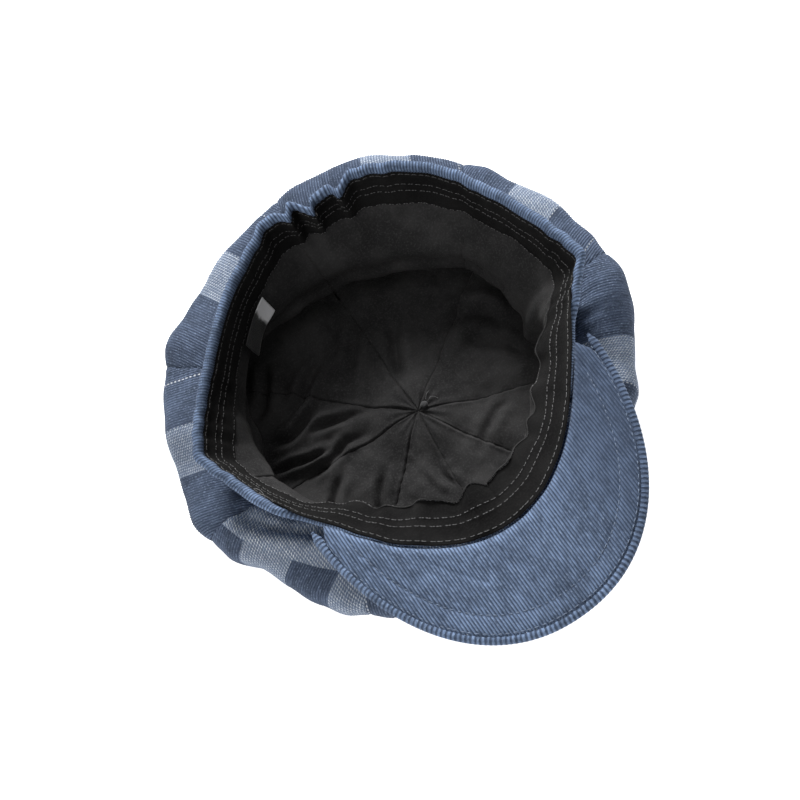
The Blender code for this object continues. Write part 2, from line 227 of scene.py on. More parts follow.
def rim_point(bearing):
    radius = sum(term * np.cos(k * bearing) for k, term in enumerate(RIM_TERMS))
    height = RIM_HEIGHT + RIM_FRONT_RISE * np.cos(bearing)
    return outward_by(bearing, radius) + stack(0.0, RIM_CENTRE_Y, height)


def band_lean(bearing):
    forward = np.cos(bearing)
    end = np.where(forward > 0, LEAN_FRONT, LEAN_REAR)
    return LEAN_SIDE + (end - LEAN_SIDE) * forward * forward


def sweatband_lean(bearing):
    forward = np.cos(bearing)
    front = (SWEAT_LEAN_FRONT - SWEAT_LEAN_SIDE) * np.maximum(forward, 0) ** SWEAT_LEAN_POWER
    rear = (LEAN_REAR - SWEAT_LEAN_SIDE) * forward * forward
    return SWEAT_LEAN_SIDE + np.where(forward > 0, front, rear)


def sloping_point(bearing, lean, drop, depth):
    outward = direction(bearing)
    lean = np.asarray(lean)[..., None]
    slope = outward * np.sin(lean) + UP * np.cos(lean)
    normal = outward * np.cos(lean) - UP * np.sin(lean)
    drop, depth = np.asarray(drop)[..., None], np.asarray(depth)[..., None]
    return rim_point(bearing) - slope * drop + normal * depth


def band_point(bearing, drop, depth):
    return sloping_point(bearing, band_lean(bearing), drop, depth)


def crown_radius(bearing):
    return CROWN_RADIUS - CROWN_REAR_SHIFT * np.cos(bearing)


def dimple(radius, floor, depth):
    inner, outer = DIMPLE_RADII
    share = np.clip((radius - inner) / (outer - inner), 0, 1)
    return floor + depth * (1 + np.cos(pi * share)) / 2


def middle(bearing, edge_radius, floor, depth, steps=14, start=SEAM_START):
    share = np.linspace(0, 1, steps)[:, None]
    radius = start + (edge_radius - start) * share
    return with_height(outward_by(bearing, radius), dimple(radius, floor, depth))


def lower_side(edge, widest, floor, steps=12):
    turn = np.linspace(0, pi / 2, steps + 1)[1:, None]
    reach = np.sin(turn) ** (2 / BULGE_POWER)
    rise = 1 - np.maximum(np.cos(turn), 0) ** (2 / BULGE_POWER)
    return with_height(mix(edge, widest, reach), floor + (widest[..., 2] - floor) * rise)


def upper_side(widest, seam, steps=14):
    turn = np.linspace(0, BULGE_TURN, steps + 1)[1:, None]
    share = (1 - np.cos(turn)) / (1 - cos(BULGE_TURN))
    puff = (seam[..., 2] - widest[..., 2]) / sin(BULGE_TURN)
    return with_height(mix(widest, seam, share), widest[..., 2] + puff * np.sin(turn))


def crown_lines(bearing):
    """The crown's outer face, rows from the button to the band, a column to each bearing."""
    flat_radius = FLAT_SHARE * crown_radius(bearing)
    edge = outward_by(bearing, flat_radius)
    seam = band_point(bearing, BAND_WIDTH, BAND_STACK) + direction(bearing) * 0.3 - UP * 0.6
    slump = eased(degrees_round(bearing), CROWN_SLUMP)
    outer = outward_by(bearing, crown_radius(bearing) + slump)
    widest = with_height(outer, BULGE_RISE + BULGE_SHARE * seam[..., 2])
    lines = [middle(bearing, flat_radius, 0.0, CROWN_DIMPLE)]
    lines += [lower_side(edge, widest, 0.0), upper_side(widest, seam)]
    return np.concatenate(lines)


# How far the soft crown stands out beyond its even shape, by bearing in degrees.
CROWN_SLUMP = (
    (0, 0.0), (40, -0.4),
    *zip(range(50, 330, 9),
         (-3.2, -7.0, -6.7, -5.7, -4.3, -5.8, -8.9, -8.1, -8.3, -5.5, -5.0, -1.4, 2.1, 1.3, 3.1, -0.6,
          -0.1, -2.1, 0.6, 4.4, 2.3, -0.7, -1.3, 0.7, 2.6, 0.2, -4.7, -3.4, -1.0, 2.5, 3.6, -4.3)),
    (345, 0.0), (360, 0.0))
# How far the rim stands out, by bearing in degrees.
RIM_SHIFT = (
    (0, 1.0), (10, 0.3), (20, -0.3), (45, -0.4), (57, -1.0), (70, -1.8), (77, -0.5), (81, 2.2),
    (86, 6.0), (92, 3.3), (98, 0.4), (109, -1.3), (120, 0.0), (126, 1.4), (132, 4.2), (142, 6.8),
    (152, 7.6), (160, 8.6), (167, 5.0), (180, 4.0), (186, 6.0), (192, 1.4), (200, -0.8),
    (220, -1.7), (230, -1.2), (235, 0.0), (241, 1.5), (246, 3.6), (251, 5.6), (256, 7.7),
    (261, 4.6), (267, 1.2), (273, 0.0), (284, -0.6), (304, 0.2), (315, 1.6), (325, 2.2),
    (340, 1.4), (350, 1.4), (360, 1.0))


def shift_with_rim(points, strength=1.0):
    """Moves points out with the uneven rim."""
    bearing = np.arctan2(points[..., 0], -(points[..., 1] - RIM_CENTRE_Y))
    reach = eased(degrees_round(bearing), RIM_SHIFT) * strength
    return points + outward_by(bearing, reach)


def fold_drop(bearing):
    return FOLD_TUCK + (FOLD_TOP - FOLD_TUCK) * smooth(off_front(bearing), TUCK_TO, TUCK_FROM)


def fold_inside(bearing):
    return (SWEATBAND_CLOTH + 0.3) * (1 - smooth(off_front(bearing), TUCK_FROM, TUCK_OUTSIDE))


def gathers(points):
    """Draws the rear in where the elastic gathers it, in tight folds."""
    bearing = np.arctan2(points[..., 0], -(points[..., 1] - RIM_CENTRE_Y))
    at = degrees_round(bearing)
    pull = 4.0 * bump(at, 172, 10)
    folds = ((180.5, 3.0, 1.8), (177.8, -3.5, 1.5), (174.8, 5.5, 2.2), (164.6, 4.5, 1.9),
             (168.6, -1.0, 1.6), (185.5, 1.0, 1.5), (159.0, 1.2, 2.0), (152.5, 0.9, 1.8))
    for place, reach, width in folds:
        pull = pull + reach * bump(at, place, width)
    twist = 1.6 * bump(at, 171, 9) * np.sin((at - 170) * TAU / 7.2)
    strength = smooth(points[..., 2], 26, 62)
    inward = outward_by(bearing, -pull * strength)
    sideways = outward_by(bearing + pi / 2, twist * strength)
    points = shift_with_rim(points, smooth(points[..., 2], 24, 60))
    uneven = 0.45 * level_waves(points, 34, 5) * smooth(points[..., 2], 55, 66)
    uneven = uneven * smooth(at, 80, 95) * (1 - smooth(at, 265, 280))
    return points + inward + sideways + UP * uneven[..., None]


# ---------------------------------------------------------------- meshes

def scene_object(name, data):
    item = bpy.data.objects.new(name, data)
    bpy.context.scene.collection.objects.link(item)
    return item


def mesh_object(name, mesh, material):
    mesh.shade_smooth()
    mesh.materials.append(material)
    return scene_object(name, mesh)


def grid_object(name, points, cloth, material, wrap=False, flip=False, thickness=None):
    """A sheet of quads over rows x columns of points, with flat cloth coordinates in metres."""
    rows, columns = points.shape[:2]
    index = np.arange(rows * columns).reshape(rows, columns)
    if wrap:
        index = np.hstack([index, index[:, :1]])
    flat = np.arange(index.size).reshape(index.shape)
    turn = (0, 3, 2, 1) if flip else (0, 1, 2, 3)

    def corners(grid):
        around = (grid[:-1, :-1], grid[:-1, 1:], grid[1:, 1:], grid[1:, :-1])
        return np.stack([around[k] for k in turn], -1).ravel()

    mesh = bpy.data.meshes.new(name)
    loops = corners(index)
    faces = len(loops) // 4
    mesh.vertices.add(rows * columns)
    mesh.vertices.foreach_set("co", (points * MM).astype(np.float32).ravel())
    mesh.loops.add(len(loops))
    mesh.loops.foreach_set("vertex_index", loops.astype(np.int32))
    mesh.polygons.add(faces)
    mesh.polygons.foreach_set("loop_start", np.arange(0, faces * 4, 4, dtype=np.int32))
    mesh.update(calc_edges=True)
    layer = mesh.uv_layers.new(name="cloth")
    flat_cloth = (cloth * MM).reshape(-1, 2)[corners(flat)]
    layer.data.foreach_set("uv", flat_cloth.astype(np.float32).ravel())
    item = mesh_object(name, mesh, material)
    if thickness:
        shell = item.modifiers.new("cloth_thickness", "SOLIDIFY")
        shell.thickness = thickness * MM
        shell.offset = -1.0
        shell.use_even_offset = False
    return item


def solid_object(name, points, faces, material):
    mesh = bpy.data.meshes.new(name)
    mesh.from_pydata((np.asarray(points) * MM).tolist(), [], faces)
    return mesh_object(name, mesh, material)


def ribbed(points, cloth, height, wrap=False):
    """Raises the ribs, which run along the columns, a wale apart across the cloth."""
    across = cloth[:, : points.shape[1], 0]
    lift = height * np.cos(TAU * across / WALE)
    return points + grid_normals(points, wrap) * lift[..., None]


STITCH_SIDES, STITCH_RINGS = 6, 5


def stitch_rows(name, paths, material, step, share, radius, proud):
    """Rows of thread as one object: each stitch is a short bow whose ends dip into the cloth.

    A path is its points and the cloth's normals there.
    """
    turn = np.linspace(0, TAU, STITCH_SIDES, endpoint=False)[:, None]
    along = np.linspace(-1, 1, STITCH_RINGS)
    bow = proud * (1 - along**2 * 1.9)
    girth = radius * np.sqrt(np.maximum(1 - along**4 * 0.75, 0.05))
    tubes = []
    for path, normals in paths:
        distance = length_along(path)
        count = int(distance[-1] / step)
        chance = np.random.default_rng(count).random((count, 2))

        def read(values, at):
            return np.stack([np.interp(at, distance, values[:, k]) for k in range(3)], -1)

        at = (np.arange(count) + 0.5) * distance[-1] / count + (0.24 * chance[:, 0] - 0.12) * step
        reach = step * share / 2 * (0.88 + 0.22 * chance[:, 1])
        normal = unit(read(normals, at))[:, None]
        forward = unit(read(path, at + reach) - read(path, at - reach))[:, None]
        spine = read(path, at)[:, None] + forward * (reach[:, None] * along)[..., None]
        spine = (spine + normal * bow[:, None])[:, :, None]
        ring = normal[:, None] * np.cos(turn) + np.cross(normal, forward)[:, None] * np.sin(turn)
        tubes.append(spine + girth[:, None, None] * ring)
    points = np.concatenate(tubes)
    faces = []
    for index in np.arange(points[..., 0].size).reshape(points.shape[:3]):
        beside = np.roll(index, -1, 1)
        faces += np.stack([index[:-1], beside[:-1], beside[1:], index[1:]], -1).reshape(-1, 4).tolist()
        faces += [index[0, ::-1].tolist(), index[-1].tolist()]
    return solid_object(name, points.reshape(-1, 3), faces, material)


def thread_object(name, routes, material, radius):
    """Loose threads: smooth curves through a few points each."""
    curve = bpy.data.curves.new(name, "CURVE")
    curve.dimensions = "3D"
    curve.bevel_depth = radius * MM
    curve.bevel_resolution = 2
    curve.resolution_u = 6
    curve.use_fill_caps = True
    for route in routes:
        spline = curve.splines.new("NURBS")
        spline.points.add(len(route) - 1)
        for place, point in zip(spline.points, route):
            place.co = (*(np.asarray(point) * MM), 1.0)
        spline.use_endpoint_u = True
        spline.order_u = 4
    item = scene_object(name, curve)
    mesh = bpy.data.meshes.new_from_object(item.evaluated_get(bpy.context.evaluated_depsgraph_get()))
    bpy.data.objects.remove(item)
    return mesh_object(name, mesh, material)


def along_route(points, route):
    """Each point's level distance from a route of (x, y) places, and how far along it is, 0 to 1."""
    flat, route = points[..., :2], np.array(route, float)
    nearest, place = np.full(flat.shape[:-1], 1e9), np.zeros(flat.shape[:-1])
    for index, (start, end) in enumerate(zip(route, route[1:])):
        run = end - start
        share = np.clip(((flat - start) @ run) / (run @ run), 0, 1)
        distance = np.linalg.norm(flat - start - share[..., None] * run, axis=-1)
        place = np.where(distance < nearest, (index + share) / (len(route) - 1), place)
        nearest = np.minimum(nearest, distance)
    return nearest, place


# ---------------------------------------------------------------- materials

class Material:
    """A node material with short ways to add and join nodes."""

    def __init__(self, name, roughness, sheen=0.0, tint=(1, 1, 1), specular=0.3):
        self.data = bpy.data.materials.new(name)
        self.data.use_nodes = True
        self.nodes = self.data.node_tree.nodes
        self.links = self.data.node_tree.links
        self.shader = self.nodes["Principled BSDF"]
        settings = {"Roughness": roughness, "Sheen Weight": sheen, "Sheen Roughness": 0.45,
                    "Sheen Tint": tint, "Specular IOR Level": specular}
        for key, value in settings.items():
            self.put(self.shader.inputs[key], value)

    def put(self, socket, value):
        if isinstance(value, Number):
            self.links.new(value.socket, socket)
        elif isinstance(value, tuple) and len(value) == 3 and socket.type == "RGBA":
            socket.default_value = (*value, 1.0)
        else:
            socket.default_value = value

    def math(self, kind, *values):
        node = self.nodes.new("ShaderNodeMath")
        node.operation = kind
        for socket, value in zip(node.inputs, values):
            self.put(socket, value)
        return Number(self, node.outputs[0])

    def ramp(self, value, start, end, low=0.0, high=1.0):
        node = self.nodes.new("ShaderNodeMapRange")
        node.interpolation_type = "SMOOTHSTEP"
        for socket, number in zip(node.inputs, (value, start, end, low, high)):
            self.put(socket, number)
        return Number(self, node.outputs[0])

    def mix(self, share, a, b):
        node = self.nodes.new("ShaderNodeMix")
        node.data_type = "RGBA"
        for socket, value in zip((node.inputs[0], *node.inputs[6:8]), (share, a, b)):
            self.put(socket, value)
        return Number(self, node.outputs[2])

    def place(self):
        """Places on the object, in metres."""
        return Number(self, self.nodes.new("ShaderNodeTexCoord").outputs["Object"])

    def parts(self, where):
        """The x and y of a place."""
        node = self.nodes.new("ShaderNodeSeparateXYZ")
        self.put(node.inputs[0], where)
        return Number(self, node.outputs[0]), Number(self, node.outputs[1])

    def cloth(self):
        """(across, along) of the flat cloth, in metres."""
        node = self.nodes.new("ShaderNodeUVMap")
        node.uv_map = "cloth"
        self.uv = Number(self, node.outputs[0])
        return self.parts(self.uv)

    def noise(self, where, scale, detail=3.0, roughness=0.55):
        node = self.nodes.new("ShaderNodeTexNoise")
        self.put(node.inputs["Vector"], where)
        for key, value in (("Scale", scale), ("Detail", detail), ("Roughness", roughness)):
            node.inputs[key].default_value = value
        return Number(self, node.outputs["Fac"])

    def stretched(self, y):
        """The flat cloth's places, with patterns drawn out along the cloth."""
        node = self.nodes.new("ShaderNodeMapping")
        self.put(node.inputs["Vector"], self.uv)
        node.inputs["Scale"].default_value = (1.0, y, 1.0)
        return Number(self, node.outputs[0])

    def finish(self, colour, height, strength, distance):
        """Sets the colour and the fine relief, and gives the finished material."""
        self.put(self.shader.inputs["Base Color"], colour)
        node = self.nodes.new("ShaderNodeBump")
        node.inputs["Strength"].default_value = strength
        node.inputs["Distance"].default_value = distance
        self.put(node.inputs["Height"], height)
        self.put(self.shader.inputs["Normal"], Number(self, node.outputs[0]))
        return self.data


class Number:
    """A node's output, which can be reckoned with."""

    def __init__(self, material, socket):
        self.material, self.socket = material, socket

    def __add__(self, other):
        return self.material.math("ADD", self, other)

    def __sub__(self, other):
        return self.material.math("SUBTRACT", self, other)

    def __rsub__(self, other):
        return self.material.math("SUBTRACT", other, self)

    def __mul__(self, other):
        return self.material.math("MULTIPLY", self, other)

    def __truediv__(self, other):
        return self.material.math("DIVIDE", self, other)

    def __abs__(self):
        return self.material.math("ABSOLUTE", self)

    def sine(self):
        return self.material.math("SINE", self)

    def fraction(self):
        return self.material.math("FRACT", self)


def shade(colour, share):
    return tuple(c * share for c in colour)


def corduroy(name, plaid, shade_to_plus_x=False):
    """Corduroy: rib tops paler than the furrows, which are darkened as painted shade, patchy nap, and
    the plaid's flecks.

    One kind is painted darker towards +X, as painted shade on that side.
    """
    m = Material(name, 0.9, sheen=0.08, tint=(0.55, 0.68, 0.95), specular=0.15)
    ground = NAVY if plaid else BLUE
    across, along = m.cloth()
    rib = m.math("COSINE", across * (TAU / (WALE * MM)))
    where = m.place()
    pile = m.noise(m.stretched(0.5), 1700, detail=2.0)
    streak = m.noise(m.stretched(0.28), 800, detail=4.0)
    nap = m.noise(where, 48, detail=6.0, roughness=0.7)
    crest = m.ramp(rib + (streak - 0.5) * 1.6, -0.95, 0.6)
    blotch = m.noise(m.stretched(0.4), 240, detail=5.0, roughness=0.7)
    patch = m.ramp(nap * 0.42 + streak * 0.22 + blotch * 0.36, 0.40, 0.60)
    base = m.mix(patch, shade(ground, 0.55), shade(ground, 1.32))
    base = m.mix(m.ramp(pile, 0.5, 0.75, 0.0, 0.6), base, BLUE_LIGHT)
    if shade_to_plus_x:
        # Painted shade: the colour darkens towards +X, as on a side turned from the light.
        plus_x_shade_place = m.parts(where)[0] + (nap - 0.5) * 0.05
        base = m.mix(m.ramp(plus_x_shade_place, 0.010, 0.055, 0.0, 0.56), base, BLUE_PAINTED_SHADE)
    # Painted shade: the furrows between the ribs are darkened towards a dark blue.
    base = m.mix((1.0 - crest) * 0.82, base, BLUE_PAINTED_SHADE)
    height = crest * 0.7 + pile * 0.5
    if plaid:
        grey, flecks, line = plaid_masks(m, across, along)
        base = m.mix(grey * 0.6, base, m.mix(0.55, base, BLUE_LIGHT))
        base = m.mix(flecks * grey, base, GREY_FLECK)
        base = m.mix(line * 0.5, base, GREY_FLECK)
        height = height + flecks * grey * 0.5
    return m.finish(base, height, 0.9, 0.0005)


def plaid_masks(m, across, along):
    """The grey blocks, the slanting flecks that fill them, and the thin dotted lines."""
    block = BLOCK * MM

    def stripe(value, order):
        """Grey and blue stripes in a repeating order of ones and zeros."""
        place = m.math("FLOORED_MODULO", value / block, float(len(order)))
        node = m.nodes.new("ShaderNodeValToRGB")
        node.color_ramp.interpolation = "CONSTANT"
        stops = node.color_ramp.elements
        while len(stops) < len(order):
            stops.new(0.5)
        for k, grey in enumerate(order):
            stops[k].position = k / len(order)
            stops[k].color = (grey, grey, grey, 1.0)
        m.put(node.inputs[0], place / float(len(order)))
        return Number(m, node.outputs[0])

    grey_across = stripe(across, PLAID_ORDER)
    dotted = tuple(int(not a and not b) for a, b in zip(PLAID_ORDER, PLAID_ORDER[-1:] + PLAID_ORDER))
    dotted_here = stripe(across, dotted)
    grey_along = stripe(along, (0, 0, 0, 1))
    grey = m.math("MAXIMUM", grey_across * 0.85, grey_along)
    wale = across / (WALE * MM)
    side = (wale + 0.5).fraction() - 0.5
    rough = m.noise(m.uv, 1300, detail=2.0) - 0.5
    row = along / (FLECK_PITCH * MM) + m.math("FLOOR", wale + 0.5) * 0.5 + (side + rough * 0.7)
    slant = row.fraction() - 0.5
    inside = m.ramp(abs(side), 0.42, 0.26) * m.ramp(abs(slant), 0.30, 0.16)
    worn = m.ramp(m.noise(m.uv, 420), 0.32, 0.66, 0.35, 1.0)
    flecks = inside * (grey_across * grey_along * 0.28 + 0.72) * worn
    dots = m.ramp((along / (DOT_PITCH * MM)).fraction(), 0.45, 0.6)
    line = m.ramp((across / block).fraction(), 0.034, 0.022) * dots
    return grey, flecks, line * dotted_here


def black_cloth(name, weave, colour=BLACK, warm=BLACK_WARM):
    """Plain or twill black cotton with a faint weave, dusty patches and lint."""
    m = Material(name, 0.95, sheen=0.03, tint=(0.9, 0.88, 0.85), specular=0.06)
    across, along = m.cloth()
    where = m.place()
    thread = (across * (TAU / weave)).sine() * (along * (TAU / weave)).sine()
    dusty = m.noise(where, 38, detail=6.0, roughness=0.62)
    fuzz = m.noise(where, 1150, detail=2.0)
    base = m.mix(m.ramp(dusty, 0.35, 0.7), shade(colour, 0.8), shade(warm, 1.15))
    base = m.mix(m.ramp(fuzz, 0.45, 0.78, 0.0, 0.42), base, shade(warm, 2.0))
    base = m.mix(m.ramp(thread, -1.0, 1.0, 0.0, 0.3), base, (0.004, 0.004, 0.004))
    return m.finish(base, thread * 0.5 + fuzz, 0.55, 0.0002)


def plain_finish(name, colour, roughness, metallic=0.0):
    """A plain material with a fine grain in colour and height."""
    m = Material(name, roughness, specular=0.4)
    m.shader.inputs["Metallic"].default_value = metallic
    grit = m.noise(m.place(), 900, detail=4.0)
    return m.finish(m.mix(m.ramp(grit, 0.3, 0.7), shade(colour, 0.75), colour), grit, 0.25, 0.0002)


def thread_finish(name, colour):
    """Twisted thread."""
    m = Material(name, 0.7, sheen=0.3, specular=0.3)
    node = m.nodes.new("ShaderNodeTexWave")
    node.inputs["Scale"].default_value = 900
    node.bands_direction = "DIAGONAL"
    m.put(node.inputs["Vector"], m.place())
    twist = Number(m, node.outputs["Fac"])
    return m.finish(m.mix(twist, shade(colour, 0.6), colour), twist, 0.4, 0.0001)


def webbing_finish(name, colour, pitch):
    """Woven tape: bold threads both ways."""
    m = Material(name, 0.85, sheen=0.1)
    across, along = m.cloth()
    thread = (across * (TAU / pitch)).sine() * (along * (TAU / pitch)).sine()
    return m.finish(m.mix(m.ramp(thread, -1, 1), shade(colour, 0.55), colour), thread, 0.5, 0.0003)


def satin_finish(name):
    """Black satin tape, its end painted pale as a highlight where the tape curls towards the light."""
    m = Material(name, 0.33, sheen=0.2, specular=0.6)
    across, along = m.cloth()
    warp = (across * (TAU / 0.0003)).sine()
    # Painted highlight: the pale end stands in for the satin's reflection.
    end = m.ramp(along + m.noise(m.place(), 260) * 0.004, 0.0178, 0.0202)
    base = m.mix(m.ramp(warp, -1, 1), (0.008, 0.008, 0.009), (0.02, 0.02, 0.021))
    return m.finish(m.mix(end, base, (0.74, 0.74, 0.76)), warp, 0.3, 0.0001)


# ---------------------------------------------------------------- crown

CROWN_GORE_WIDTH, CROWN_RIB_COLUMNS = 97, 4.6  # mesh columns for each rib at the widest place
CROWN_SEAM_LAP = 0.06  # how far each gore reaches over its seams
# Where the plaid starts on each gore: across it, and along it up to the band.
PLAID_SHIFTS = ((130, 60), (80, 46), (60, 50), (72, 44), (65, 48), (62.5, 50), (175, 1), (165, 3))


def measured_gore(points, start=0.0):
    """A gore's flat coordinates along and across, how far its seam is, its flat size and area."""
    along = length_along(points).mean(1)[:, None] + start
    across = length_along(points.swapaxes(0, 1)).swapaxes(0, 1)
    across = across - across[:, -1:] / 2
    width = -across[:, :1]
    size = (2 * float(width.max()) * MM, float(along.max()) * MM)
    area = float(np.sum(np.diff(along[:, 0]) * 2 * width[:-1, 0])) * MM * MM
    return along, across, width - np.abs(across), size, area


def crown_cloth(index, material):
    """One gore of the crown, puffed between its seams and gathered into the band."""
    share = np.linspace(0, 1, int(CROWN_GORE_WIDTH / WALE * CROWN_RIB_COLUMNS))
    bearing = (index + share) * (TAU / PANELS)
    points = even_rows(crown_lines(bearing), 64)
    along, across, to_seam, size, area = measured_gore(points, SEAM_START)
    last = along.max() - along
    radius = np.linalg.norm(points[..., :2], axis=-1)
    off_ground = smooth(points[..., 2], 1.0, 14.0) * smooth(last, 0.0, 6.0)
    puff = smooth(to_seam, 0.0, 13.0) * off_ground - 0.6 * bump(to_seam, 0, 1.2)
    puff = puff * smooth(radius, 6, 20) * smooth(last, 0.0, 2.0)
    soft = level_waves(points, 46, 11) + 0.5 * waves(bearing * 80, along, 24, 12)
    puff = puff + 1.1 * soft * off_ground
    pucker = np.sin(bearing * 38 + 1.5 * np.sin(bearing * 7)) + 0.6 * np.sin(bearing * 61)
    puff = puff + 0.8 * pucker * bump(last, 6, 9) * smooth(last, 0.0, 3.0)
    puff = puff + crown_crease(bearing, last)
    puff = puff - 1.6 * bump(last, 1.5, 3.0) * smooth(last, 0.0, 1.5)
    at = degrees_round(bearing)
    left = smooth(at, 185, 215) * (1 - smooth(at, 325, 345))
    puff = puff + 2.6 * left * bump(last, 15, 9)
    points = points - grid_normals(points) * puff[..., None]
    points = gathers(points)
    points = above(points, 0.0)
    shift = PLAID_SHIFTS[index]
    flat = pairs(across + shift[0], shift[1] - last)
    away = CROWN_SEAM_LAP * (2 * share - 1) * bump(to_seam, 0, 1.0)
    points = points + outward_by(bearing + pi / 2, away)
    points = ribbed(points, flat, PLAIN_RIB_HEIGHT)
    name = "crown_cloth_%d" % (index + 1)
    return grid_object(name, points, flat, material, thickness=CORDUROY_THICK), size, area


def crown_crease(bearing, last):
    """A crease in the slumped crown, from the left of the band round to the visor's corner."""
    at = degrees_round(bearing)
    place = eased(at, ((255, 22.0), (272, 17.0), (300, 9.0), (318, 5.0)))
    strength = smooth(at, 262, 282) * (1 - smooth(at, 318, 330))
    return strength * (-4.2 * bump(last, place, 2.4) + 1.6 * bump(last, place + 7, 5.0))


def button_cloth(material):
    """The covered button, with the cloth turned in over its edge."""
    profile = [(0.0, 0.0), (BUTTON_FLAT * 0.6, 0.0), (BUTTON_FLAT, 0.05), (8.7, 0.55), (9.45, 1.6),
               (BUTTON_RADIUS, 3.1), (9.6, 4.0), (9.2, 4.3), (8.2, BUTTON_HEIGHT)]
    radius, height = np.array(profile).T
    share = np.linspace(0, len(profile) - 1, 26)
    radius = np.interp(share, range(len(profile)), radius)
    height = np.interp(share, range(len(profile)), height)
    turn = np.linspace(0, TAU, 97)[:-1]
    folds = 0.12 * np.sin(turn * 24)[None, :] * smooth(height, 1.0, 4.0)[:, None]
    radius = np.maximum(radius, 0.02)[:, None] + folds
    points = stack(radius * np.cos(turn), radius * np.sin(turn), height[:, None] + 0 * folds)
    flat = np.concatenate([points, points[:, :1]], 1)[..., :2] + 3.0
    return grid_object("button_cloth", points, flat, material, wrap=True, thickness=BUTTON_CLOTH * 0.8)


# ---------------------------------------------------------------- band

def band_rows(bearing):
    """Drops and depths of the outer band: up its outside, round the rolled rim, and down inside."""
    top = fold_drop(bearing)
    inside = fold_inside(bearing)
    roll = (BAND_STACK - inside) / 2
    rows = []
    for share in np.linspace(0, 1, 9):
        puff = 0.55 * sin(pi * share) ** 0.6
        rows.append((BAND_WIDTH + (top - BAND_WIDTH) * share, BAND_STACK + puff))
    for turn in np.linspace(0, pi, 13)[1:]:
        rows.append((top - (roll + 0.35) * sin(turn), inside + roll + (roll + 0.3) * cos(turn)))
    for leg in (0.5, 1.0):
        rows.append((top + FOLD_LEG * leg, inside - 0.25 * (1 - leg)))
    return rows


def band_cloth(material):
    turn = np.linspace(0, TAU, 721)
    around = length_along(rim_point(turn))
    ribs = round(around[-1] / WALE)
    place = np.linspace(0, around[-1], ribs * BAND_RIB_COLUMNS + 1)
    bearing = np.interp(place, around, turn)[:-1]
    points = gathers(np.stack([band_point(bearing, *row) for row in band_rows(bearing)]))
    across = place * (ribs * WALE / around[-1])
    along = length_along(points).mean(1)
    flat = pairs(across[None, :], along[:, None])
    length = float(along[-1])
    width = cloth_area(np.concatenate([points, points[:, :1]], 1)) / length
    points = ribbed(points, flat, PLAIN_RIB_HEIGHT, wrap=True)
    item = grid_object("band_cloth", points, flat, material, wrap=True, thickness=CORDUROY_THICK)
    return item, (width * MM, length * MM)


def sweat_lines(bearing):
    """The sweatband's face, rows from its top edge down; it turns inward below its top edge."""
    extra = eased(degrees_round(bearing), (
        (0, 5), (14, -2), (30, -12), (52, -6), (70, 17), (84, 28), (94, 2),
        (110, 0), (230, 0), (270, -2), (300, -6), (322, -8), (333, 4), (360, 5)))
    lean_end = sweatband_lean(bearing) + np.radians(extra)
    lean_start = np.maximum(band_lean(bearing), 0.35 * lean_end)
    hidden = 2.6 * smooth(off_front(bearing), TUCK_TO, TUCK_FROM)
    lean_start = lean_start + (lean_end - lean_start) * (1 - smooth(off_front(bearing), 1.0, 1.3))
    outward = direction(bearing)
    drops = np.linspace(0, 1, 40)
    place = band_point(bearing, hidden, -0.1)
    points, last = [place], 0.0
    for drop in drops[1:]:
        lean = (lean_start + (lean_end - lean_start) * smooth(drop, 0.0, 0.45))[..., None]
        step = (drop - last) * (SWEATBAND_WIDTH - hidden)[..., None]
        place = place - (outward * np.sin(lean) + UP * np.cos(lean)) * step
        points.append(place)
        last = drop
    return np.stack(points), drops


STITCH_DROPS = (1.6, 8.8, 13.2, 20.6)
SWEAT_RADIUS = 86


def sweatband_cloth(material, thread):
    bearing = np.linspace(0, TAU, 1001)[:-1]
    points, drops = sweat_lines(bearing)
    around = bearing * SWEAT_RADIUS
    drop = drops[:, None] * SWEATBAND_WIDTH
    front = bump(((np.degrees(bearing) + 180) % 360) - 180, 0, 52)
    slack = 0.25 + 0.75 * smooth(drop, 6, 22)
    ripple = waves(around, drop * 0.7, 26, 21) + 0.6 * waves(around, drop * 0.4, 12, 22)
    lift = ripple * slack * (0.45 + 1.9 * front)
    lift = lift + 0.28 * np.sin(pi * np.clip((drop - 1.6) / 7.2, 0, 1)) ** 2
    for place in STITCH_DROPS:
        lift = lift - 0.3 * bump(drop, place, 0.6)
    lift = lift * smooth(drop, 0.0, 1.5)
    edge = 2.0 * waves(around, 0, 15, 23) * smooth(drop, 12, 22) * (0.2 + front)
    points = points + grid_normals(points, wrap=True) * lift[..., None]
    plain = points + outward_by(bearing, edge)
    points = gathers(plain)
    normals = grid_normals(points, wrap=True)
    length = float(length_along(rim_point(np.linspace(0, TAU, 721)))[-1])
    flat = pairs(np.linspace(0, length, 1001)[None, :], drop)
    item = grid_object("sweatband_cloth", points, flat, material, wrap=True, thickness=0.7)
    paths = []
    for place in STITCH_DROPS:
        row = int(round(place / SWEATBAND_WIDTH * (len(drops) - 1)))
        paths.append([np.concatenate([grid[row], grid[row, :1]]) for grid in (points, normals)])
    stitches = stitch_rows("sweatband_stitches", paths, thread, step=3.4, share=0.66, radius=0.2,
                           proud=0.2)
    return item, stitches, (length * MM, SWEATBAND_WIDTH * MM), plain[-1]


TAPE_LOW = 25.0  # the drop of its lower edge
BAND_RADIUS = 88


def tape(name, first, last, material, reach=0.0):
    """A strip of tape in the pocket between the band and the sweatband."""
    bearing = np.linspace(first, last, 240)
    high = fold_drop(bearing) + BAND_STACK / 2
    share = np.linspace(0, 1, 14)[:, None]
    drop = TAPE_LOW + (high - TAPE_LOW) * share
    ripple = reach * np.sin(bearing * 40)
    depth = STIFFENER_DEPTH + ripple + 0 * share
    points = gathers(band_point(bearing[None, :] + 0 * share, drop, depth))
    flat = pairs(bearing[None, :] * BAND_RADIUS, drop)
    return grid_object(name, points, flat, material, thickness=STIFFENER_THICK * 0.8)


# ---------------------------------------------------------------- lining

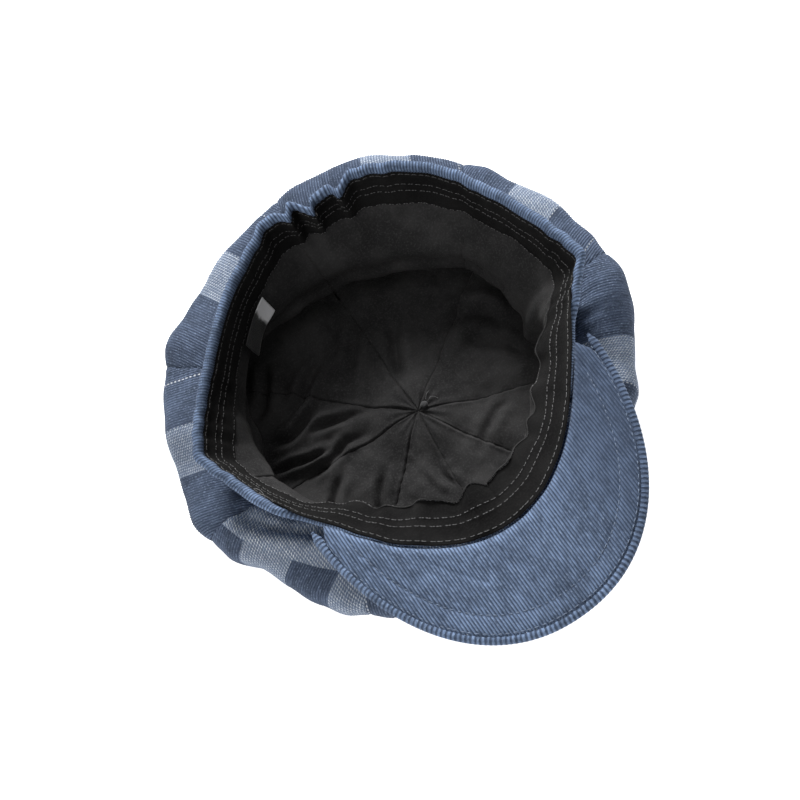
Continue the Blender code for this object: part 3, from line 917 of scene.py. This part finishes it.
LINING_SEAMS = (-10.0, 26.0, 66.0, 129.0, 182.0, 225.5, 263.5, 310.0, 350.0)  # bearings
LINING_FOLDS = (  # route of (x, y), depth, width
    (((-22, 58), (-34, 50), (-46, 42), (-60, 40)), 2.8, 2.9),
    (((-34, 36), (-48, 31), (-62, 29), (-78, 36)), 2.8, 2.9),
    (((-14, 16), (-30, 20), (-46, 25), (-56, 24)), 2.2, 2.5),
    (((-84, 22), (-72, 18), (-56, 13), (-44, 12)), 2.6, 1.9),
    (((-20, 6), (-38, 10), (-54, 6), (-66, 8)), 1.8, 2.4),
    (((54, 8), (52, 22), (42, 30), (28, 30)), 2.8, 4.2),
    (((22, 12), (38, 14), (50, 2), (52, -8)), 1.6, 3.4),
    (((20, 52), (10, 42), (4, 28), (0, 14)), 2.0, 3.6),
    (((-26, 32), (-14, 44), (-6, 54), (6, 60)), 2.0, 3.6),
    (((-40, 2), (-54, -6), (-64, -14), (-68, -24)), 2.0, 2.6),
    (((-24, -10), (-36, -18), (-44, -28), (-44, -40)), 1.8, 2.4),
    (((8, -36), (18, -28), (28, -22), (38, -20)), 1.4, 2.6),
    (((-8, -20), (-10, -32), (-8, -44)), 1.2, 2.4),
    (((-78, 46), (-64, 52), (-54, 64), (-50, 72)), 2.6, 3.0),
)


LINING_ROWS = 120
SEAM_LAP = 0.006  # each gore reaches this share of its width past its seams


def lining_base(bearing, foot):
    """The lining's inner face, rows from the middle to just under the sweatband's lower edge."""
    flat_radius = LINING_FLAT_SHARE * FLAT_SHARE * crown_radius(bearing)
    edge = outward_by(bearing, flat_radius)
    seam = band_point(bearing, BAND_WIDTH + 0.9, 0.0)
    outer = direction(bearing) * crown_radius(bearing)[..., None]
    widest = mix(with_height(seam, 0.0), outer, LINING_REACH)
    widest = with_height(widest, LINING_WIDEST * seam[..., 2])
    below = with_height(seam, (seam[..., 2] + widest[..., 2]) / 2)
    lines = [middle(bearing, flat_radius, LINING_FLOOR, LINING_DIMPLE, 20, 0.3)]
    lines.append(lower_side(edge, widest, LINING_FLOOR))
    for share in np.linspace(0, 1, 9)[1:]:
        lines.append(mix(mix(widest, below, share), mix(below, seam, share), share)[None])
    for share in np.linspace(0, 1, 8)[1:]:
        lines.append(mix(seam, foot, share)[None])
    return even_rows(np.concatenate(lines), LINING_ROWS)


# By bearing: how far out the floor of the slack lining ends, how far the wall hangs over it, and
# how much of the slack shape there is.
CREASE_RADIUS = ((0, 62), (60, 60), (84, 59), (99, 66), (113, 71), (127, 75), (146, 75), (160, 77),
                 (179, 81), (195, 88), (207, 95), (220, 97), (232, 90), (245, 82), (262, 75),
                 (285, 66), (310, 62), (360, 62))
CREASE_OVERHANG = ((0, 0), (70, 0), (88, 0.45), (110, 0.8), (130, 1), (205, 1), (222, 0.6),
                   (240, 0.12), (290, 0), (360, 0))
SLACK_SHARE = ((0, 0), (64, 0), (88, 1), (238, 1), (285, 0), (360, 0))


def slack_wall(bearing, foot):
    """The lining where it has slumped: a floor that tucks in under an overhanging wall."""
    at = degrees_round(bearing)
    crease = eased(at, CREASE_RADIUS)
    over = eased(at, CREASE_OVERHANG)
    floor = middle(bearing, crease - 12, LINING_FLOOR, LINING_DIMPLE, 20, 0.3)
    outward = direction(bearing)
    knots = [floor[-1]]
    for reach, height in ((-3.0 + over, LINING_FLOOR - 2.9 * over), (4.0 * over, 5.5),
                          (2.0 * over, 9.5), (-5.0 * over, 14.0), (2.2 - 4.6 * over, 19.5)):
        knots.append(with_height(outward * (crease + reach)[..., None], height))
    last = knots[-1]
    for share, sag in ((0.35, 3.0), (0.7, 2.2), (1.0, 0.0)):
        knots.append(mix(last, foot, share) - outward * sag * (0.4 + 1.3 * over[..., None]))
    curve = spline_rows(np.concatenate([floor[-2:-1], np.stack(knots)]), 10)
    return even_rows(np.concatenate([floor[:-1], curve]), LINING_ROWS)


def spline_rows(knots, steps):
    """A smooth curve through the knots of each column, from the second one on."""
    lines = []
    for k in range(1, len(knots) - 1):
        before, start, end = knots[k - 1], knots[k], knots[k + 1]
        after = knots[min(k + 2, len(knots) - 1)]
        for share in np.linspace(0, 1, steps, endpoint=False):
            square, cube = share**2, share**3
            lines.append(0.5 * (2 * start + (end - before) * share
                                + (2 * before - 5 * start + 4 * end - after) * square
                                + (3 * start - before - 3 * end + after) * cube))
    lines.append(knots[-1])
    return np.stack(lines)


def settle_lining(points, last):
    """Creases and folds of the slack lining."""
    radius = np.linalg.norm(points[..., :2], axis=-1)
    outward = points * np.array([1.0, 1.0, 0.0]) / np.maximum(radius, 1e-6)[..., None]
    floor = smooth(last, 8, 30)
    for route, depth, width in LINING_FOLDS:
        distance, place = along_route(points, route)
        taper = smooth(place, 0.0, 0.45) * smooth(place, 1.0, 0.7)
        near, beside = bump(distance, 0, 0.72 * width), bump(distance, 1.7 * width, width)
        points = points - UP * (1.15 * depth * taper * (near - 0.8 * beside) * floor)[..., None]
    soft = level_waves(points, 34, 31)
    soft = soft + 0.5 * level_waves(points, 15, 32)
    soft = soft * smooth(radius, 8, 34) * smooth(last, 0, 20)
    fine = level_waves(points, 6, 33) * smooth(radius, 4, 20) * smooth(last, 2, 14)
    centre_pucker = bump(radius, 9, 6) * np.sin(np.arctan2(points[..., 1], points[..., 0]) * 15)
    points = points + UP * (1.25 * soft + 0.17 * fine + 0.3 * centre_pucker)[..., None]
    sag = waves(np.arctan2(points[..., 1], points[..., 0]) * 70, points[..., 2], 26, 34)
    return points + outward * ((sag - 1.0) * smooth(last, 2, 16) * smooth(radius, 50, 75))[..., None]


def within_band(points):
    """Keeps the lining inside the band's inner face."""
    across, forward = points[..., 0], points[..., 1] - RIM_CENTRE_Y
    bearing, radius = np.arctan2(across, -forward), np.hypot(across, forward)
    rim = rim_point(bearing)
    lean = band_lean(bearing)
    drop = (rim[..., 2] - points[..., 2]) / np.cos(lean)
    limit = np.hypot(rim[..., 0], rim[..., 1] - RIM_CENTRE_Y) - np.sin(lean) * drop
    limit = limit + np.cos(lean) * 0.9 + 3.0 * smooth(drop, BAND_WIDTH - 2, BAND_WIDTH + 4)
    share = np.minimum(radius, limit) / np.maximum(radius, 1e-6)
    flat = stack(across * share, forward * share + RIM_CENTRE_Y, points[..., 2])
    return mix(points, flat, smooth(drop, BAND_WIDTH + 8, BAND_WIDTH + 2))


def lining_cloth(index, material, sweat):
    """One gore of the lining."""
    first, last_seam = radians(LINING_SEAMS[index]), radians(LINING_SEAMS[index + 1])
    share = np.linspace(-SEAM_LAP, 1 + SEAM_LAP, 72)
    bearing = first + (last_seam - first) * share
    ring = np.linspace(0, TAU, len(sweat) + 1)
    edge = np.concatenate([sweat, sweat[:1]])
    foot = np.stack([np.interp(bearing % TAU, ring, edge[:, k]) for k in range(3)], -1)
    foot = foot + direction(bearing) * 0.7 + UP * 1.2
    slack = eased(degrees_round(bearing), SLACK_SHARE)
    points = mix(lining_base(bearing, foot), slack_wall(bearing, foot), slack)
    along, across, to_seam, size, area = measured_gore(points)
    last = along.max() - along + 0 * bearing
    radius = np.linalg.norm(points[..., :2], axis=-1)
    puff = 0.9 * smooth(to_seam, 0.0, 9.0) * smooth(radius, 8, 40) - 0.75 * bump(to_seam, 0, 0.55)
    side = np.sign(across) * bump(to_seam, 1.2, 0.9) * 0.22
    ease = np.sin(along * TAU / 5.5) * 0.16 * bump(to_seam, 0.6, 1.8) * smooth(radius, 10, 30)
    points = points + grid_normals(points) * ((puff + side + ease) * smooth(last, 1, 8))[..., None]
    points = gathers(within_band(settle_lining(points, last)))
    points = above(points, 2.2)
    centre = LINING_CENTRE_X * (1 - smooth(radius, 4, 75))
    points = points + np.array([1.0, 0.0, 0.0]) * centre[..., None]
    flat = pairs(across, along)
    name = "lining_cloth_%d" % (index + 1)
    return grid_object(name, points, flat, material, flip=True, thickness=0.5), size, area


# ---------------------------------------------------------------- visor

def visor_outline(share, inset):
    turn = share * pi / 2
    width = VISOR_HALF_WIDTH - inset
    depth = VISOR_ROOT_Y - VISOR_TIP_Y - inset
    across = np.abs(np.sin(turn)) ** (2 / VISOR_POWER) * np.sign(share)
    forward = np.maximum(np.cos(turn), 0) ** (2 / VISOR_POWER)
    height = VISOR_TIP_HEIGHT + VISOR_SIDE_RISE * share**2
    return stack(width * across, VISOR_ROOT_Y - depth * forward, height)


def visor_sheet(inset, lift, crown, rows=44):
    """Rows from the inner edge to the outer edge; its columns run straight forward like the ribs.

    crown is how far the middle of the sheet swells.
    """
    reach = VISOR_CORNER * 0.95
    shares = np.linspace(-reach, reach, 801)
    outer = visor_outline(shares, inset)
    bearings = shares * VISOR_SWEEP
    inner = shift_with_rim(rim_point(bearings) + direction(bearings) * VISOR_ROOT_GAP)
    half = float(outer[-1, 0]) - 0.3
    ends = outer[[0, -1]]
    inner = np.concatenate([ends[:1], inner, ends[1:]])
    inner[:, 0] = np.maximum.accumulate(inner[:, 0] + np.arange(len(inner)) * 1e-6)
    ribs = int(2 * half / WALE)
    across = np.linspace(-ribs * WALE / 2, ribs * WALE / 2, ribs * RIB_COLUMNS + 1)
    near = stack(across, *[np.interp(across, inner[:, 0], inner[:, k]) for k in (1, 2)])
    far = stack(across, *[np.interp(across, outer[:, 0], outer[:, k]) for k in (1, 2)])
    share = np.linspace(0, 1, rows)[:, None]
    share = share + 0.06 * np.sin(TAU * share)
    points = mix(near[None], far[None], share + 0 * across)
    swell = crown * np.sin(pi * np.clip(share, 0, 1)) ** 0.7
    points = points + UP * (lift + swell + 0 * across)[..., None]
    along = length_along(points)
    return points, pairs(across, along)


def edge_distance(points, inset):
    """Distance of each point of the visor from its outer edge."""
    route = visor_outline(np.linspace(-VISOR_CORNER, VISOR_CORNER, 161), inset)
    return along_route(points, route[:, :2])[0]


VISOR_STITCH_INSET = 8.5
VISOR_CREASES = (  # route of (x, y), depth, width
    (((-66, -44), (-52, -66), (-38, -92), (-24, -112)), 0.35, 1.0),
    (((-63, -47), (-50, -62), (-42, -74)), 0.3, 0.8),
    (((-71, -50), (-62, -76), (-48, -104)), 0.25, 0.9),
    (((60, -52), (66, -70), (64, -88)), 0.3, 1.4),
)


def visor_cover(name, lift, upward, material, seed):
    points, flat = visor_sheet(COVER_INSET, lift, 0.5 * upward)
    from_edge = edge_distance(points, COVER_INSET)
    soft = 0.22 * level_waves(points, 24, seed)
    soft = soft + 0.12 * level_waves(points, 11, seed + 1)
    soft = soft * smooth(from_edge, 0.5, 6)
    soft = soft - 0.4 * bump(from_edge, VISOR_STITCH_INSET, 0.7)
    soft = soft - 0.5 * bump(from_edge, 0.0, 1.2)
    if upward > 0:
        for route, depth, width in VISOR_CREASES:
            soft = soft - depth * bump(along_route(points, route)[0], 0, width)
    at_root = 0.72 * (1 - smooth(flat[..., 1], 0.0, 3.2))
    points = points + UP * (soft * upward - lift * at_root)[..., None]
    points = ribbed(points, flat, -VISOR_RIB_HEIGHT * upward)
    item = grid_object(name, points, flat, material, flip=upward > 0, thickness=1.0)
    width = float(flat[..., 0].max() - flat[..., 0].min())
    length = float(flat[..., 1].max())
    cells = np.diff(flat[..., 1], axis=0)[:, :-1] * np.diff(flat[..., 0], axis=1)[:-1]
    return item, (width * MM, length * MM), float(cells.sum()) * MM * MM, points


def visor_board(material):
    points, flat = visor_sheet(COVER_INSET + 0.4, VISOR_BOARD_THICK / 2 - 0.1, 0.0, rows=16)
    points, flat = points[1:, ::RIB_COLUMNS], flat[1:, ::RIB_COLUMNS]
    thickness = VISOR_BOARD_THICK - 0.2
    return grid_object("visor_stiff_board", points, flat, material, flip=True, thickness=thickness)


def visor_edge(material):
    """The rolled edge: a ribbed bias strip round a cord, its ribs slanting like a rope's."""
    fine = np.linspace(-VISOR_CORNER, VISOR_CORNER, 2001)
    path = visor_outline(fine, PIPING_INSET)
    distance = length_along(path)
    slant = WALE * 1.55
    columns = int(distance[-1] / slant) * 8
    place = np.linspace(0, distance[-1], columns)
    centre = np.stack([np.interp(place, distance, path[:, k]) for k in range(3)], -1)
    side = unit(np.cross(unit(np.gradient(centre, axis=0)), UP))
    sides = 18
    turn = np.linspace(0, TAU, sides, endpoint=False)[:, None]
    rib = 0.14 * np.abs(np.cos(pi * place / slant + turn * 0.9)) - 0.04
    taper = smooth(place, 0.0, 5.0) * smooth(distance[-1] - place, 0.0, 5.0)
    radius = (PIPING_RADIUS - 0.05 + rib) * (0.35 + 0.65 * taper)
    spread_out, rise = np.cos(turn) * radius, np.sin(turn) * radius * 0.98
    points = centre[None] + side[None] * spread_out[..., None] + UP * rise[..., None]
    points = points.swapaxes(0, 1)
    around = np.linspace(0, TAU * PIPING_RADIUS, sides + 1)
    flat = pairs((place * WALE / slant)[:, None], around[None, :])
    item = grid_object("visor_edge_cloth", points, flat, material, wrap=True, flip=True)
    cap_ends(item, columns, sides)
    return item


def cap_ends(item, rings, sides):
    """Closes a tube of rings with a face at each end."""
    mesh = item.data
    vertices = [list(v.co) for v in mesh.vertices]
    uv = [list(loop.uv) for loop in mesh.uv_layers["cloth"].data]
    faces = [list(p.vertices) for p in mesh.polygons]
    faces.append(list(range(sides)))
    faces.append([(rings - 1) * sides + k for k in reversed(range(sides))])
    new = bpy.data.meshes.new(mesh.name)
    new.from_pydata(vertices, [], faces)
    layer = new.uv_layers.new(name="cloth")
    uv += [[0.0, 0.0]] * (2 * sides)
    layer.data.foreach_set("uv", np.array(uv, np.float32).ravel())
    new.shade_smooth()
    new.materials.append(mesh.materials[0])
    item.data = new


def visor_stitches(points_up, thread):
    """Two stitched arcs on the visor: beside the rolled edge, and a little way in."""
    paths = []
    face = points_up.reshape(-1, 3)
    face = face[::max(1, len(face) // 6000)]
    for inset, reach in ((0.9, 0.93), (VISOR_STITCH_INSET, 0.86)):
        route = visor_outline(np.linspace(-reach, reach, 401), COVER_INSET + inset)
        near = [int(np.argmin(((face[:, :2] - place) ** 2).sum(1))) for place in route[:, :2]]
        route[:, 2] = np.convolve(np.pad(face[near, 2], 4, "edge"), np.ones(9) / 9, "valid")
        paths.append((route, np.tile(UP, (len(route), 1))))
    return stitch_rows("visor_stitches", paths, thread, step=3.1, share=0.68, radius=0.19, proud=0.16)


# ---------------------------------------------------------------- label and loose threads

def label_tape(material):
    """A folded satin tape that hangs from under the sweatband's lower edge, its end curled."""
    top = SWEATBAND_WIDTH - LABEL_SEAM
    share = np.linspace(0, 1, 40)
    bearing = LABEL_BEARING + 1.25 * LABEL_HALF_ANGLE * (1 - 2 * share)
    drop = np.linspace(0, 1, 24)[:, None]
    lean = sweatband_lean(bearing)[None, :] + 0 * drop
    depth = -LABEL_SET_IN - 0.5 * drop**2 - 1.4 * smooth(share, 0.62, 1.0) * drop**2
    depth = depth + 0.18 * np.sin(share * 9 + drop * 4) * drop - 0.7
    points = gathers(sloping_point(bearing[None, :] + 0 * drop, lean, top + LABEL_DROP * drop, depth))
    length = 2.5 * float(LABEL_HALF_ANGLE) * BAND_RADIUS
    flat = pairs(drop * LABEL_DROP, share[None, :] * length)
    item = grid_object("care_label_tape", points, flat, material, flip=True, thickness=0.35)
    return item, (length * MM, LABEL_DROP * MM)


def loose_threads(material):
    """A few ends of thread that stand up from the rim's corner and the lining's middle."""
    corner = band_point(np.array([radians(-84.0)]), 1.0, -0.4)[0]
    knot = np.array([3.0, 1.0, 10.6])
    routes = (
        [corner, corner + (1, -2, 1.6), corner + (3.5, -4, 0.8), corner + (4, -8, -0.4)],
        [corner + (0, 3, -1), corner + (2, 1, 1.0), corner + (3, -2, 1.6), corner + (2, -5, 0.6)],
        [knot, knot + (1.5, 1, 1.3), knot + (3.2, -0.5, 0.8), knot + (4, -2.0, -0.4)],
        [knot + (-1, 1, 0), knot + (0.5, 3, 1.2), knot + (2.5, 3.5, 0.3)],
    )
    return thread_object("loose_threads", routes, material, 0.13)


# ---------------------------------------------------------------- stage

CAMERA_AZIMUTH, CAMERA_ELEVATION, CAMERA_ROLL = radians(-2), radians(64), radians(-34)
CAMERA_DISTANCE = 0.85
CAMERA_AIM = (0.0, 0.0, 0.045)
CAMERA_OFFSET = (-0.00304, -0.0102)  # of the aim, to the image's right and up
WHITE = (1.0, 1.0, 1.0, 1.0)
FLOOR_HALF, FLOOR_HEIGHT, FLOOR_GLOW = 4000.0, -0.3, 0.8
WORLD_LIGHT = 0.40
LAMPS = (  # name, from where, strength, spread in degrees
    ("key", (0.36, 0.80, 0.58), 6.4, 22),
    ("fill", (-0.9, -0.35, 0.8), 0.45, 60),
    ("side", (-0.9, -0.45, 0.22), 1.5, 30),
)


def add_camera():
    a, e, roll = CAMERA_AZIMUTH, CAMERA_ELEVATION, CAMERA_ROLL
    right = Vector((cos(a), sin(a), 0.0))
    back = Vector((sin(a) * cos(e), -cos(a) * cos(e), sin(e)))
    upward = back.cross(right)
    turned_right = right * cos(roll) + upward * sin(roll)
    turned_up = upward * cos(roll) - right * sin(roll)
    aim = Vector(CAMERA_AIM) + turned_right * CAMERA_OFFSET[0] + turned_up * CAMERA_OFFSET[1]
    data = bpy.data.cameras.new("camera")
    data.lens = 85
    data.sensor_width = 36
    data.clip_end = 20
    camera = scene_object("camera", data)
    axes = Matrix((turned_right, turned_up, back)).transposed().to_4x4()
    axes.translation = aim + back * CAMERA_DISTANCE
    camera.matrix_world = axes
    bpy.context.scene.camera = camera


def add_lamp(name, toward, strength, spread):
    """A broad, distant lamp that shines from this direction."""
    data = bpy.data.lights.new(name, "SUN")
    data.energy = strength
    data.angle = radians(spread)
    scene_object(name, data).rotation_euler = Vector(toward).to_track_quat("Z", "Y").to_euler()


def add_stage():
    """White paper under the cap, even light all round and three lamps."""
    finish = Material("floor_paper", 0.9, specular=0.1)
    finish.shader.inputs["Base Color"].default_value = (0.9, 0.9, 0.9, 1.0)
    finish.shader.inputs["Emission Color"].default_value = WHITE
    finish.shader.inputs["Emission Strength"].default_value = FLOOR_GLOW
    corners = [(x * FLOOR_HALF, y * FLOOR_HALF, FLOOR_HEIGHT)
               for x, y in ((-1, -1), (1, -1), (1, 1), (-1, 1))]
    solid_object("floor", corners, [(0, 1, 2, 3)], finish.data)
    world = bpy.data.worlds.new("studio")
    world.use_nodes = True
    background = world.node_tree.nodes["Background"]
    background.inputs[0].default_value = WHITE
    background.inputs[1].default_value = WORLD_LIGHT
    scene = bpy.context.scene
    scene.world = world
    scene.view_settings.view_transform = "Standard"
    for lamp in LAMPS:
        add_lamp(*lamp)


# ---------------------------------------------------------------- the whole cap

def bend_with_visor(item):
    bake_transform(item)


def stand_for(item, node, ride=None):
    """Puts a piece in the place of the model's node, which it hides; the piece has its transform
    applied, or rides on a body.
    """
    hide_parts(node)
    if ride:
        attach(item, ride)
    else:
        bend_with_visor(item)


def main():
    add_camera()
    add_stage()
    plaid = corduroy("plaid_corduroy", True)
    blue = corduroy("blue_corduroy", False)
    # The visor's visible face and rolled edge use corduroy with painted shade towards +X.
    shade_to_plus_x = corduroy("corduroy_shade_to_plus_x", False, shade_to_plus_x=True)
    cotton = black_cloth("black_cotton", 0.0006)
    twill = black_cloth("black_twill", 0.0008, (0.0056, 0.0055, 0.0057), (0.0092, 0.0090, 0.0090))
    grey_thread = thread_finish("grey_thread", THREAD_GREY)
    blue_thread = thread_finish("blue_thread", (0.16, 0.21, 0.30))
    board = plain_finish("board_plastic", (0.42, 0.43, 0.45), 0.5)

    for index in range(PANELS):
        item, flat, area = crown_cloth(index, plaid)
        stand_for(item, "crown_panel_%d" % (index + 1))

    band, flat = band_cloth(blue)
    stand_for(band, "outer_band")

    sweatband, stitches, flat, sweat = sweatband_cloth(twill, grey_thread)
    stand_for(sweatband, "sweatband")
    bend_with_visor(stitches)

    for index in range(PANELS):
        item, flat, area = lining_cloth(index, cotton, sweat)
        stand_for(item, "lining_panel_%d" % (index + 1))

    ends = pi - REAR_ELASTIC_HALF - radians(7.5)
    stiff_weave = webbing_finish("buckram", (0.62, 0.6, 0.55), 0.0012)
    buckram = tape("band_stiffener_tape", -ends, ends, stiff_weave)
    stand_for(buckram, "band_stiffener")
    elastic = tape("rear_elastic_tape", pi - REAR_ELASTIC_HALF, pi + REAR_ELASTIC_HALF,
                   webbing_finish("elastic_webbing", (0.55, 0.55, 0.54), 0.0009), reach=0.15)
    stand_for(elastic, "rear_elastic", "root")

    lift = VISOR_BOARD_THICK / 2 + 1.4
    under, flat, area, face = visor_cover("visor_under_cloth", lift, 1.0, shade_to_plus_x, 41)
    stand_for(under, "visor_under_cover")
    over, flat, area, _ = visor_cover("visor_top_cloth", -lift, -1.0, blue, 51)
    stand_for(over, "visor_top_cover")
    stand_for(visor_board(board), "visor_board")
    stand_for(visor_edge(shade_to_plus_x), "visor_edge_piping")
    arcs = visor_stitches(face, blue_thread)
    bend_with_visor(arcs)

    stand_for(button_cloth(plaid), "button_cover", "root")
    label, flat = label_tape(satin_finish("label_satin"))
    stand_for(label, "care_label", "label")
    threads = loose_threads(grey_thread)
    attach(threads, "root")

    finishes = {
        "button_shell": plain_finish("pressed_steel", (0.55, 0.55, 0.56), 0.35, metallic=1.0),
        "button_back": plain_finish("nylon", (0.7, 0.7, 0.68), 0.45),
        "button_thread": thread_finish("black_thread", (0.03, 0.03, 0.032)),
    }
    for node, finish in finishes.items():
        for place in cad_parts[node].material_slots:
            place.material = finish


main()
